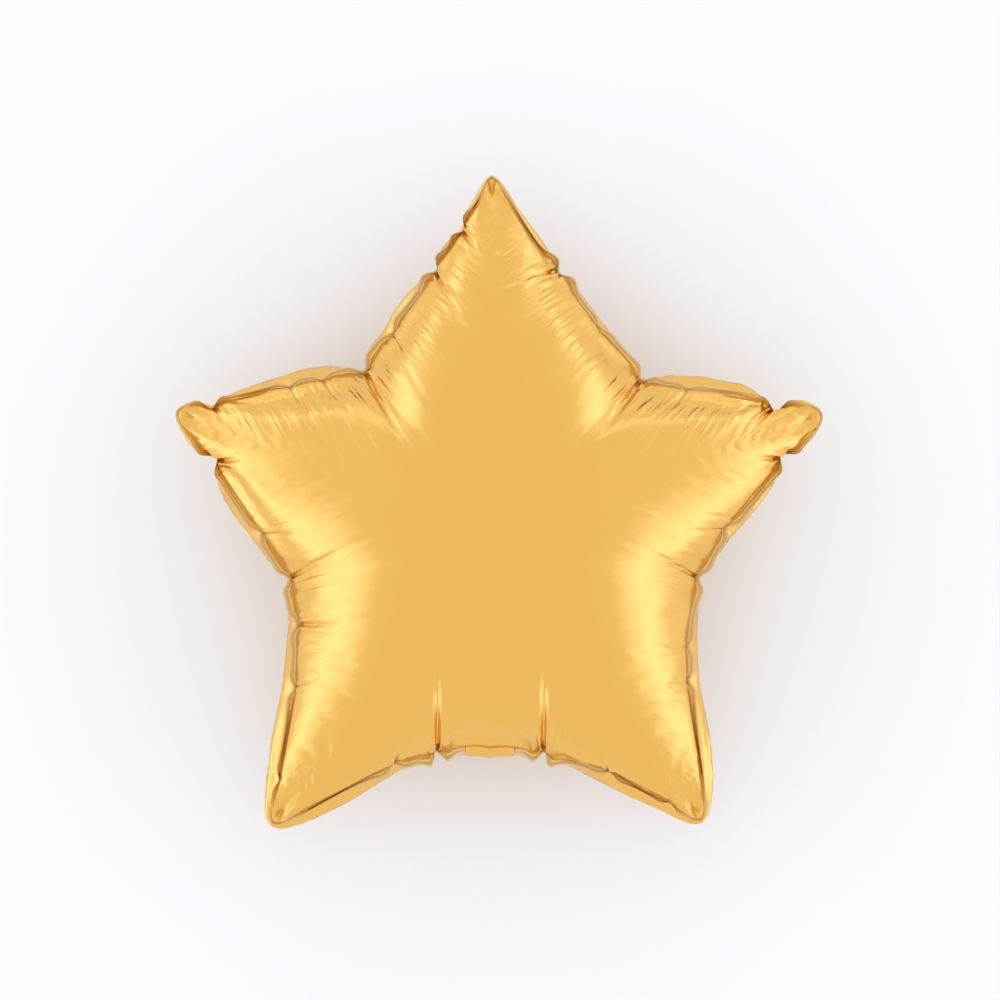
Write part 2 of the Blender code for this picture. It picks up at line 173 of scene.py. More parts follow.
# The inlet neck, and how wide the band lies flat beside it
BAND_FLAT = 0.6
NECK_CORNER = 2
NECK_WIDTH = 0.0340
NECK_END_WIDTH = 0.0290
NECK_LENGTH = 0.0520
NECK_STAND = 0.0009
NECK_WALL = 0.0009
NECK_TUCK = 0.0012
NECK_ROLL = (0.0062, 0.0030)
NECK_FIRST_ROW = 2.0
NECK_COLUMNS = 12
NECK_ROWS = 14
NECK_PROBE = 0.004
NECK_STEP = 0.2
# The neck's slack folds: depth, and turns across and along it
NECK_FOLDS = ((0.0005, 7.0, 4.0), (0.0004, 2.0, 19.0))
ROLL_ROWS = 6

# The simulated film's grid for each edge of a panel, and the finer one made of it
COLUMNS = 56
ROWS = 14
WELD = 0.00002
SOFTEN_FROM = 0.012
SOFTEN_TIMES = 6
CREASE_SEED = 0.0002
DRAW_IN_FRAMES = 12
SIMULATED_FRAMES = 28
FINE_COLUMNS = 190
FINE_ROWS = 22
FINE_ROW_POWER = 1.10
FINE_WELD = 0.000002
CROWDING = 2.0
CROWDING_REACH = 0.007
# How far a point may move from the full bag's own shape: front and back panel
PLAY = (0.0030, 0.0020)
DRIFT_ROUNDS = 40
TIP_CALM = 0.36
LEAST_LENGTH = 1e-9
# How far in the seal keeps its own shape, and the least share of the way to the ridge
SEAL_REACH = 0.0035
LEAST_SHARE_IN = 0.02
# Fine gathers, square to the seal: ranges are shares of the pitch, the reach and the depth
GATHER_PITCH = 0.0045
GATHER_PITCHES = (0.65, 1.4)
GATHER_REACH = 0.044
GATHER_REACHES = (0.55, 1.0)
GATHER_DEPTH = 0.0004
GATHER_DEPTHS = (0.35, 1.0)
GATHER_AT_SEAL = 0.0003
GATHER_SLANT = 0.10
GATHER_WIDTH = 0.32
GATHER_SPAN = 3.0
GATHER_FALL = 1.6
GATHER_FADE = 1.3
SEAL_GATHERED = 0.8
BACK_GATHER_SHARE = 0.4
EDGE_REACH = 1.2
# The comb of streaks on the shoulder, which is a bump in the film's material
COMB_PITCH = 0.0040
COMB_LENGTH = 0.0900
COMB_DEPTH = 0.0015
COMB_MIDDLE = 0.0330
COMB_WIDTH = 0.0125
COMB_EDGES = (0.40, 0.68)
COMB_LEAST_WIDTH = (0.030, 0.060)
# Creases that run in from a pinch: one along its middle, and lesser ones beside it
CREASE_WIDTH = 0.0013
CREASE_SHARE = 0.36
CREASE_DEEPEST = 0.0080
CREASE_LONGER = 0.4
CREASE_LEAST_WIDTH = (0.020, 0.025)
BACK_CREASE_SHARE = 0.2
LESSER_CREASES = 2
LESSER_SHIFT = 0.009
LESSER_DEPTHS = (0.3, 0.7)
LESSER_SLANT = 0.35
LESSER_REACHES = (0.35, 0.7)
# A crease's section: how wide it is read, how it opens inward, and its lips' height and place
CREASE_SPAN = 0.02
CREASE_OPENING = (0.6, 0.9)
CREASE_LIP = (0.45, 2.4)
CREASE_FALL = 1.3
# The fan of small wrinkles about a pinch, which spread more the farther off they start
FAN_LINES = 8
FAN_SHIFT = 0.012
FAN_DEPTH = 0.0006
FAN_DEPTHS = (0.4, 1.0)
FAN_FULL_AT = 0.005
FAN_LEANS = (10.0, 35.0)
FAN_REACHES = (0.7, 1.25)
FAN_STARTS = (0.004, 0.014)
FAN_WIDTH = 0.0011
# Finishes: the film's haze and crinkle, and the seal, which is partly milky where it melted,
# so less of its reflection is the metal's
HAZE_SCALE = 60.0
HAZE = (-0.03, 0.05)
CRINKLE_SCALE = 220.0
CRINKLE = (0.12, 0.0002)
SEAL_METAL = 0.5
RIB_SCALE = (700.0, 60.0, 1.0)
RIB = (0.35, 0.0003)
# The stage: softboxes by place and size, the right one of each pair, and the camera's view
FLOOR_SIZE = 8.0
SIDE_BOX = ((1.30, -0.15, 0.60), (3.3, 1.0))
SIDE_STRIP = ((1.28, -0.15, 0.52), (3.1, 0.4))
TOP_BOX = ((0.0, 1.60, 0.75), (2.4, 0.6))
VIEW_CENTRE = (0.0049, 0.0201)
SENSOR_WIDTH = 36.0

# One panel's grid, or a stretch of the band's, along one edge of the seam
Block = namedtuple("Block", "start seal pinned share inward facing panel full")


def linear(code):
    """An sRGB hex colour as linear red, green, blue and alpha."""
    parts = [int(code[i : i + 2], 16) / 255.0 for i in (1, 3, 5)]
    return tuple(p / 12.92 if p <= 0.04045 else ((p + 0.055) / 1.055) ** 2.4 for p in parts) + (1.0,)


def active(obj):
    """Make this the only selected object."""
    bpy.ops.object.select_all(action="DESELECT")
    obj.select_set(True)
    bpy.context.view_layer.objects.active = obj


def polar(radius, degrees):
    angle = math.radians(degrees)
    return np.array((radius * math.cos(angle), radius * math.sin(angle)))


def tip_angle(point):
    return 90.0 - 360.0 / POINTS * point + TIP_TURN[point]


def corner_angle(corner):
    return 90.0 - 360.0 / POINTS * (corner + 0.5) + CORNER_TURN[corner]


class SeamLine:
    """One closed heat seal in plan, with the same columns whatever size it is drawn to."""

    def __init__(self, tip_reach, corner_reach):
        self.t = np.linspace(0.0, 1.0, PLAN_STEPS)
        self.edges = [(point, side) for point in range(POINTS) for side in (-1, 1)]
        self.shares = np.linspace(0.0, 1.0, COLUMNS + 1)
        self.knots = {}
        self.way = {}
        self.length = {}
        for point, side in self.edges:
            corner = point if side > 0 else (point - 1) % POINTS
            tip = polar(tip_reach * TIP_SHARE[point], tip_angle(point))
            inner = polar(corner_reach * CORNER_SHARE[corner], corner_angle(corner))
            from_tip = polar(TIP_HANDLE, tip_angle(point) - 90.0 * side)
            from_corner = polar(CORNER_HANDLE[corner], corner_angle(corner) + 90.0 * side)
            self.knots[point, side] = (tip, tip + from_tip, inner + from_corner, inner)
            path = self.curve((point, side), self.t)
            steps = np.linalg.norm(np.diff(path, axis=0), axis=1)
            self.way[point, side] = np.concatenate(([0.0], np.cumsum(steps)))
            self.length[point, side] = self.way[point, side][-1]
        self.tips = []
        self.around = 0.0
        for point in range(POINTS):
            self.tips.append(self.around)
            self.around += self.length[point, 1] + self.length[(point + 1) % POINTS, -1]

    def curve(self, edge, t):
        a, b, c, d = self.knots[edge]
        t = np.asarray(t)[:, None]
        s = 1.0 - t
        return a * s**3 + b * (3 * s * s * t) + c * (3 * s * t * t) + d * t**3

    def at(self, edge, shares):
        """Plan places and outward directions at these shares of the edge's length."""
        way = self.way[edge]
        t = np.interp(np.asarray(shares) * way[-1], way, self.t)
        a, b, c, d = self.knots[edge]
        s = 1.0 - t
        run = np.outer(s * s, b - a) + np.outer(2 * s * t, c - b) + np.outer(t * t, d - c)
        run /= np.linalg.norm(run, axis=1)[:, None]
        out = np.stack((-run[:, 1], run[:, 0]), axis=1) * edge[1]
        return self.curve(edge, t), out

    def ridge(self, point, shares):
        """Where the columns from both of a point's edges meet, on its ridge."""
        tip = self.knots[point, 1][0]
        start = SPINE_INSET / self.tip_length(point)
        travel = (1.0 - SPINE_SPREAD) * shares + SPINE_SPREAD * shares**3
        return np.outer(1.0 - (start + (1.0 - start) * travel), tip)

    def tip_length(self, point):
        return np.linalg.norm(self.knots[point, 1][0])

    def run(self, edge, shares):
        """The distance along the seam, clockwise from the top point."""
        return self.tips[edge[0]] + edge[1] * shares * self.length[edge]

    def gap(self, run, centre):
        half = self.around / 2
        return (run - centre + half) % self.around - half


def inset(edge, shares):
    """How far the free seam lies in from its plan curve, fading out at both ends."""
    point, side = edge
    near_point, near_corner = SEAM_INSET[point][0 if side < 0 else 1]
    near = near_point * (1.0 - shares) + near_corner * shares
    return CUBIC_PEAK * shares * (1.0 - shares) * near


def groove(line, run, inward, side=1.0):
    """How far the pinches push the film in, at these runs and distances in from the seam."""
    depth = np.zeros(np.broadcast(run, inward).shape)
    for point, edge_side, place, deep, width, length, slant in PUCKERS:
        if side < 0.0:
            length *= BACK_GROOVE_SHARE + (1.0 - BACK_GROOVE_SHARE) * pinch_hold(place, deep)
        v = np.clip(inward / length, 0.0, 1.0)
        spread = width * (1.0 + PUCKER_SPREAD * v)
        gap = line.gap(run, line.run((point, edge_side), place))
        offset = (gap - slant * edge_side * inward) / spread
        shoulder = np.exp(-((np.abs(offset) - SHOULDER_PLACE) ** 2))
        valley = np.exp(-(offset**2)) - PUCKER_SHOULDER * shoulder
        depth += deep * (1.0 - v) ** PUCKER_FADE * valley
    return depth


def pinch_hold(place, depth):
    """How far a pinch holds the back panel in with the front one."""
    power = HOLD_POWER[1] if place == 1.0 else HOLD_POWER[0]
    return min(1.0, depth / FULL_HOLD_DEPTH) ** power


def freedom(line, run):
    """0 at a deep pinch, rising to 1 where the film is free to swell past the seam."""
    free = np.ones_like(run)
    for point, side, place, depth, *_ in PUCKERS:
        gap = line.gap(run, line.run((point, side), place))
        free *= 1.0 - pinch_hold(place, depth) * np.exp(-((gap / HOLD_REACH) ** 2))
    return free


def swell_past_seam(edge, shares):
    """The back panel's swell past the seam, blended where two edges meet."""
    point, side = edge
    own = BACK_BELLY[point][0 if side < 0 else 1]
    over_tip = BACK_BELLY[point][0 if side > 0 else 1]
    over_corner = BACK_BELLY[(point + side) % POINTS][0 if side > 0 else 1]
    at_tip = np.maximum(0.0, 1.0 - shares / BELLY_BLEND) / 2
    at_corner = np.maximum(0.0, 1.0 - (1.0 - shares) / BELLY_BLEND) / 2
    return own * (1.0 - at_tip - at_corner) + over_tip * at_tip + over_corner * at_corner


def blown_panel(line, edge, side, rise, free, pinched):
    """A panel between its seam and its ridge as a full bag, columns by rows."""
    shares = line.shares
    rim, out = line.at(edge, shares)
    rim = rim - out * (inset(edge, shares) * free)[:, None]
    ridge = line.ridge(edge[0], shares)
    turn = np.pi / 2 * np.arange(ROWS + 1) / ROWS
    across = np.maximum(0.0, np.cos(turn))
    plan = ridge[:, None] + (rim - ridge)[:, None] * across[None, :, None]
    tip = line.knots[edge][0]
    along = np.clip(plan @ tip / (tip @ tip), 0.0, 1.0)
    of_column = np.linalg.norm(ridge, axis=1) / line.tip_length(edge[0])
    along += (of_column[:, None] - along) * shares[:, None] ** 4
    peak = rise * (1.0 - along**SPINE_POWER)
    blend = shares[:, None] ** 3
    power = ARM_ROUND[0] + (CORNER_ROUND[0] - ARM_ROUND[0]) * blend
    root = ARM_ROUND[1] + (CORNER_ROUND[1] - ARM_ROUND[1]) * blend
    height = peak * (1.0 - across[None, :] ** power) ** root
    off_centre = np.linalg.norm(plan, axis=2)
    near, far = DOME_BLEND
    t = np.clip((far - off_centre) / (far - near), 0.0, 1.0)
    dome = rise * (1.0 - (off_centre / DOME_RADIUS) ** DOME_POWER)
    height += (dome - height) * t * t * (3.0 - 2.0 * t)
    width = np.linalg.norm(rim - ridge, axis=1)
    belly = swell_past_seam(edge, shares) * np.minimum(1.0, width / BELLY_WIDTH[edge[0]])
    if side > 0.0:
        belly = belly * FRONT_BELLY_SHARE
    swell = (belly * free)[:, None] * (np.sin(2.0 * turn) * across)[None, :] * SWELL_PEAK
    if pinched:
        way_in = width[:, None] * (1.0 - across) + HEIGHT_IN_WAY * height
        push = groove(line, line.run(edge, shares)[:, None], way_in, side)
        swell = swell - push * across
        height = height - push * np.sin(2.0 * turn) * GROOVE_LOWERS
    plan = plan + out[:, None] * swell[:, :, None]
    steps = np.linalg.norm(np.diff(np.dstack((plan, height)), axis=1), axis=2)
    inward = np.concatenate((np.zeros((len(shares), 1)), np.cumsum(steps, axis=1)), axis=1)
    return plan, height, inward, across


def full_and_drawn(settings):
    """The film's grids before and after its seal is pushed in, and the finished seam line."""
    loose = SeamLine(settings.loose_tip, settings.loose_corner)
    drawn = SeamLine(settings.drawn_tip, settings.drawn_corner)
    half = BAND_THICKNESS / 2
    blocks = []
    for edge in loose.edges:
        shares = loose.shares
        rim, out = loose.at(edge, shares)
        end, end_out = drawn.at(edge, shares)
        run = drawn.run(edge, shares)
        free = freedom(drawn, run)
        from_neck = drawn.gap(run, drawn.run((NECK_CORNER, 1), 1.0))
        beside_neck = np.exp(-((from_neck / (NECK_WIDTH * BAND_FLAT)) ** 6))
        t = np.clip((shares - BAND_TURNS[0]) / (BAND_TURNS[1] - BAND_TURNS[0]), 0.0, 1.0)
        tilt = BAND_TILT[0] + (BAND_TILT[1] - BAND_TILT[0]) * t * t * (3.0 - 2.0 * t)
        tilt = np.radians(tilt * (1.0 - beside_neck))
        drawn_in = inset(edge, shares) * free
        rim = rim - out * drawn_in[:, None]
        end = end - end_out * (drawn_in + groove(drawn, run, 0.0))[:, None]
        lift = SEAM_LIFT * free
        flat = -end_out * np.sin(tilt)[:, None]
        facing = np.column_stack((flat, np.cos(tilt)))

        def block(start, seal, full, pinned, inward, panel):
            shape = start.shape[:2]
            pinned = np.broadcast_to(pinned, shape)
            share = np.broadcast_to(shares[:, None], shape)
            face = np.broadcast_to(facing[:, None, :], shape + (3,))
            blocks.append(Block(start, seal, pinned, share, inward, face, panel, full))

        for side in (1.0, -1.0):
            rise = settings.front_rise if side > 0.0 else settings.back_rise
            shapes = []
            for size, pinched in ((drawn, True), (loose, False)):
                plan, height, inward, across = blown_panel(size, edge, side, rise, free, pinched)
                z = side * (height + half) + lift[:, None] * across[None, :] ** 2
                shapes.append(np.dstack((plan, z)))
            full, start = shapes
            seal = start.copy()
            seal[:, 0, :2] = end
            pinned = np.zeros((1, ROWS + 1))
            pinned[0, 0] = 1.0
            block(start, seal, full, pinned, inward, side)
        reach, rise = BAND_WIDTH * np.cos(tilt), BAND_WIDTH * np.sin(tilt)
        strips = []
        for inner, away in ((rim, out), (end, end_out)):
            outer = inner + away * reach[:, None]
            plan = np.stack((inner, outer, outer, inner), axis=1)
            z = np.stack((lift, lift + rise, lift + rise, lift), axis=1)
            z = z + np.array((half, half, -half, -half))
            strips.append(np.dstack((plan, z)))
        depth = np.broadcast_to(np.array((0.0, -BAND_WIDTH, -BAND_WIDTH, 0.0)), (len(shares), 4))
        block(strips[0], strips[1], strips[1], 1.0, depth, 0.0)
    return blocks, drawn


def softened(mesh, inward):
    """The mesh's vertices after the film clear of the seam is evened out."""
    work = bmesh.new()
    work.from_mesh(mesh)
    bmesh.ops.recalc_face_normals(work, faces=work.faces)
    work.verts.ensure_lookup_table()
    soft = [work.verts[i] for i in np.flatnonzero(inward > SOFTEN_FROM)]
    for _ in range(SOFTEN_TIMES):
        bmesh.ops.smooth_vert(
            work, verts=soft, factor=0.5, use_axis_x=True, use_axis_y=True, use_axis_z=True
        )
    work.to_mesh(mesh)
    work.free()
    places = np.empty(len(mesh.vertices) * 3)
    mesh.vertices.foreach_get("co", places)
    return places.reshape(-1, 3)


def quads_of(ids):
    """The four corners of every face between a grid's neighbouring vertices."""
    corners = (ids[:-1, :-1], ids[1:, :-1], ids[1:, 1:], ids[:-1, 1:])
    return np.stack(corners, axis=-1).reshape(-1, 4)


def coarse_film(blocks):
    """The film before its seal is pushed in, as one closed mesh welded where grids meet."""
    faces, start = [], 0
    for block in blocks:
        columns, rows = block.start.shape[:2]
        faces.append(quads_of(start + np.arange(columns * rows).reshape(columns, rows)))
        start += columns * rows
    places = np.concatenate([block.start.reshape(-1, 3) for block in blocks])
    seal = np.concatenate([block.seal.reshape(-1, 3) for block in blocks])
    full = np.concatenate([block.full.reshape(-1, 3) for block in blocks])
    pinned = np.concatenate([block.pinned.reshape(-1) for block in blocks])
    inward = np.concatenate([block.inward.reshape(-1) for block in blocks])
    share = np.concatenate([block.share.reshape(-1) for block in blocks])
    panel = np.concatenate([np.full(block.pinned.size, block.panel) for block in blocks])
    cells = np.rint(places / WELD).astype(np.int64)
    _, first, kept = np.unique(cells, axis=0, return_index=True, return_inverse=True)
    kept = kept.reshape(-1)
    welded = kept[np.concatenate(faces)].tolist()
    full_mesh = bpy.data.meshes.new("full_film")
    full_mesh.from_pydata(full[first].tolist(), [], welded)
    full_places = softened(full_mesh, inward[first])
    bpy.data.meshes.remove(full_mesh)
    mesh = bpy.data.meshes.new("loose_film")
    mesh.from_pydata(places[first].tolist(), [], welded)
    softened(mesh, inward[first])
    film = bpy.data.objects.new("loose_film", mesh)
    bpy.context.scene.collection.objects.link(film)
    return film, seal[first], pinned[first], kept, (full_places, share[first], panel[first])


def held_close(film, ends, full):
    """The full bag's own shape with the simulated folds, none deeper than the film's play."""
    places, share, panel = full
    edges = np.empty(len(film.data.edges) * 2, dtype=np.int64)
    film.data.edges.foreach_get("vertices", edges)
    a, b = edges.reshape(-1, 2).T
    beside = np.bincount(a, minlength=len(ends)) + np.bincount(b, minlength=len(ends))
    moved = ends - places
    drift = moved.copy()
    for _ in range(DRIFT_ROUNDS):
        total = np.zeros_like(drift)
        np.add.at(total, a, drift[b])
        np.add.at(total, b, drift[a])
        drift = (drift + total / beside[:, None]) / 2
    folds = moved - drift
    size = np.linalg.norm(folds, axis=1)
    t = np.clip(share / TIP_CALM, 0.0, 1.0)
    limit = np.where(panel < 0.0, PLAY[1], PLAY[0]) * t * t * (3.0 - 2.0 * t) * (panel != 0.0)
    limit = np.maximum(limit, LEAST_LENGTH)
    share_kept = limit * np.tanh(size / limit) / np.maximum(size, LEAST_LENGTH)
    return places + folds * share_kept[:, None]


def blow_up(film, seal, pinned, settings):
    """Press on the film while its seal is pushed in, and return where its vertices end."""
    scene = bpy.context.scene
    mesh = film.data
    rng = np.random.default_rng(settings.seed)
    start = np.empty(len(mesh.vertices) * 3)
    mesh.vertices.foreach_get("co", start)
    start = start.reshape(-1, 3)
    start[:, 2] += rng.uniform(-1.0, 1.0, len(start)) * CREASE_SEED * (pinned < 0.5)
    mesh.vertices.foreach_set("co", start.ravel())
    held = film.vertex_groups.new(name="seal")
    held.add(np.flatnonzero(pinned > 0.5).tolist(), 1.0, "REPLACE")
    film.shape_key_add(name="loose")
    drawn_in = film.shape_key_add(name="drawn_in")
    drawn_in.data.foreach_set("co", seal.astype(np.float32).ravel())
    drawn_in.value = 0.0
    drawn_in.keyframe_insert("value", frame=1)
    drawn_in.value = 1.0
    drawn_in.keyframe_insert("value", frame=DRAW_IN_FRAMES)

    cloth = film.modifiers.new("film", "CLOTH")
    foil = cloth.settings
    foil.quality = 8
    foil.mass = 0.3
    foil.tension_stiffness = foil.compression_stiffness = foil.shear_stiffness = settings.stretch
    foil.bending_stiffness = settings.bending
    foil.tension_damping = foil.compression_damping = foil.shear_damping = 5.0
    foil.bending_damping = 0.5
    foil.use_pressure = True
    foil.uniform_pressure_force = settings.pressure
    foil.vertex_group_mass = "seal"
    foil.effector_weights.gravity = 0.0
    cloth.collision_settings.use_collision = False
    cloth.collision_settings.use_self_collision = False
    frames = SIMULATED_FRAMES
    cloth.point_cache.frame_start = 1
    cloth.point_cache.frame_end = frames
    for number in range(1, frames + 1):
        scene.frame_set(number)
    result = film.evaluated_get(bpy.context.evaluated_depsgraph_get())
    ends = np.empty(len(mesh.vertices) * 3)
    result.data.vertices.foreach_get("co", ends)
    scene.frame_set(1)
    film.modifiers.remove(cloth)
    film.shape_key_clear()
    film.vertex_groups.clear()
    return ends.reshape(-1, 3)


def finer(grid, before, after, t):
    """A smooth curve through the grid's columns, read at columns t, led in and out by pads."""
    padded = np.concatenate((before[None], grid, after[None]))
    count = len(grid) - 1
    i = np.minimum(t.astype(int), count - 1)
    f = (t - i).reshape((-1,) + (1,) * (grid.ndim - 1))
    a, b, c, d = padded[i], padded[i + 1], padded[i + 2], padded[i + 3]
    bend = a - 2.5 * b + 2 * c - d / 2
    return b + f * ((c - a) / 2 + f * (bend + f * ((d - a) / 2 + 1.5 * (b - c))))


def fine_columns(line, point):
    """Where a point's fine columns stand, closer together at its pinches."""
    shares = np.linspace(0.0, 1.0, 1001)
    density = np.ones_like(shares)
    for side in (-1, 1):
        corner = point if side > 0 else (point - 1) % POINTS
        for other, other_side, place, depth, *_ in PUCKERS:
            other_corner = other if other_side > 0 else (other - 1) % POINTS
            at_corner = place == 1.0 and other_corner == corner
            if (other, other_side) == (point, side) or at_corner:
                gap = (shares - place) * line.length[point, side] / CROWDING_REACH
                density += CROWDING * min(1.0, depth / FULL_HOLD_DEPTH) * np.exp(-(gap**2))
    total = np.concatenate(([0.0], np.cumsum((density[1:] + density[:-1]) / 2)))
    return np.interp(np.linspace(0.0, total[-1], FINE_COLUMNS + 1), total, shares)


def fine_grids(blocks, ends, kept, line):
    """The blown film's grids again, fine enough for the narrow gathers."""
    placed = [fine_columns(line, point) for point in range(POINTS)]
    coarse, start = [], 0
    for block in blocks:
        columns, rows = block.start.shape[:2]
        ids = kept[start : start + columns * rows].reshape(columns, rows)
        coarse.append(ends[ids])
        start += columns * rows
    order = [(point, side) for point in range(POINTS) for side in (-1, 1)]
    spread = {}
    for number, edge in enumerate(order):
        point, side = edge
        over_tip = order.index((point, -side))
        over_corner = order.index(((point + side) % POINTS, -side))
        for part in range(3):
            grid = coarse[3 * number + part]
            after = coarse[3 * over_corner + part][-2].copy()
            if part < 2:
                after[-1] = 2 * grid[-1, -1] - grid[-2, -1]
            before = coarse[3 * over_tip + part][1]
            spread[number, part] = finer(grid, before, after, placed[point] * COLUMNS)
    fine = []
    rows_at = ROWS * (np.arange(FINE_ROWS + 1) / FINE_ROWS) ** FINE_ROW_POWER
    across = (np.array((0.0, 1.0, 2.0, 3.0)) / 3.0)[None, :, None]
    for number, (point, side) in enumerate(order):
        over_tip = order.index((point, -side))
        shares = placed[point]
        for part in range(3):
            block = blocks[3 * number + part]
            grid = spread[number, part]
            if part < 2:
                share_in = block.inward / block.inward[:, -1:]
            else:
                share_in = np.zeros_like(block.inward)
            carried = np.dstack((block.inward, share_in, block.facing))
            carried = finer(carried, carried[0], carried[-1], shares * COLUMNS)
            if part < 2:
                beyond = spread[over_tip, part][:, -2].copy()
                beyond[-1] = 2 * grid[-1, -1] - grid[-1, -2]
                ahead = 2 * grid[:, 0] - grid[:, 1]
                grid = finer(grid.swapaxes(0, 1), ahead, beyond, rows_at).swapaxes(0, 1)
                flat = carried.swapaxes(0, 1)
                carried = finer(flat, flat[0], flat[-1], rows_at).swapaxes(0, 1)
            else:
                halves = []
                for field in (grid, carried):
                    a, b, c, d = (field[:, None, row] for row in range(4))
                    front, back = a + (b - a) * across, c + (d - c) * across
                    halves.append(np.concatenate((front, back), axis=1))
                grid, carried = halves
            fine.append((grid, carried, (point, side), shares, block.panel))
    return fine


def gathers(line, run, inward, seed):
    """Depth of the fine gathers square to the seal: faint at it, deepest on the shoulder."""
    rng = np.random.default_rng(seed)
    depth = np.zeros_like(run)
    place = 0.0
    while place < line.around:
        pitch = GATHER_PITCH * rng.uniform(*GATHER_PITCHES)
        length = GATHER_REACH * rng.uniform(*GATHER_REACHES)
        deep = gather_share(line, place) * rng.uniform(*GATHER_DEPTHS)
        slant = rng.normal(0.0, GATHER_SLANT)
        offset = line.gap(run, place) - slant * np.maximum(0.0, inward)
        near = (np.abs(offset) < GATHER_SPAN * pitch) & (inward < length)
        x = np.abs(offset[near]) / (GATHER_WIDTH * pitch)
        v = np.maximum(0.0, inward[near]) / length
        along = GATHER_AT_SEAL * (1.0 - v) ** GATHER_FADE
        along = along + GATHER_DEPTH * CUBIC_PEAK * v**2 * (1.0 - v)
        depth[near] += deep * along * np.exp(-(x**GATHER_FALL))
        place += pitch
    return depth


def gather_share(line, run):
    """How strongly the seal is gathered at these runs, from its edges' shares."""
    total, weight = 0.0, 0.0
    for edge, share in GATHER_SHARE.items():
        gap = np.abs(line.gap(run, line.run(edge, 0.5))) / line.length[edge]
        near = np.maximum(0.0, EDGE_REACH - gap) ** 4
        total = total + near * share
        weight = weight + near
    return total / weight


def creases(line, run, inward, seed):
    """Sharp folds that run in from the deep pinches, each with a lesser one or two beside it."""
    rng = np.random.default_rng(seed)
    depth = np.zeros_like(run)
    for point, side, place, deep, _, length, slant in PUCKERS:
        centre = line.run((point, side), place)
        sharp = CREASE_SHARE * min(deep, CREASE_DEEPEST)
        reach = 1.0 + CREASE_LONGER * min(1.0, deep / FULL_HOLD_DEPTH)
        lines = [(0.0, sharp, slant * side, reach, 0.0, CREASE_WIDTH)]
        for _ in range(LESSER_CREASES):
            lines.append((
                rng.uniform(-LESSER_SHIFT, LESSER_SHIFT),
                sharp * rng.uniform(*LESSER_DEPTHS),
                rng.normal(0.0, LESSER_SLANT),
                rng.uniform(*LESSER_REACHES),
                0.0,
                CREASE_WIDTH,
            ))
        for _ in range(FAN_LINES):
            shift = rng.uniform(-FAN_SHIFT, FAN_SHIFT)
            lines.append((
                shift,
                FAN_DEPTH * rng.uniform(*FAN_DEPTHS) * min(1.0, deep / FAN_FULL_AT),
                slant * side + shift * rng.uniform(*FAN_LEANS),
                rng.uniform(*FAN_REACHES),
                rng.uniform(*FAN_STARTS),
                FAN_WIDTH,
            ))
        for shift, depth_here, lean, reach, begin, across in lines:
            reach *= length
            v = np.maximum(0.0, inward)
            offset = line.gap(run, centre + shift) - lean * v
            near = (np.abs(offset) < CREASE_SPAN) & (inward < reach)
            v, x = v[near], np.abs(offset[near]) / across
            started = 1.0 - np.exp(-((v / begin) ** 2)) if begin > 0.0 else 1.0
            v = v / reach
            x = x / (CREASE_OPENING[0] + CREASE_OPENING[1] * v)
            lip = CREASE_LIP[0] * np.exp(-((x - CREASE_LIP[1]) ** 2))
            section = np.exp(-(x**CREASE_FALL)) - lip
            depth[near] += depth_here * started * (1.0 - v) ** 0.5 * section
    return depth


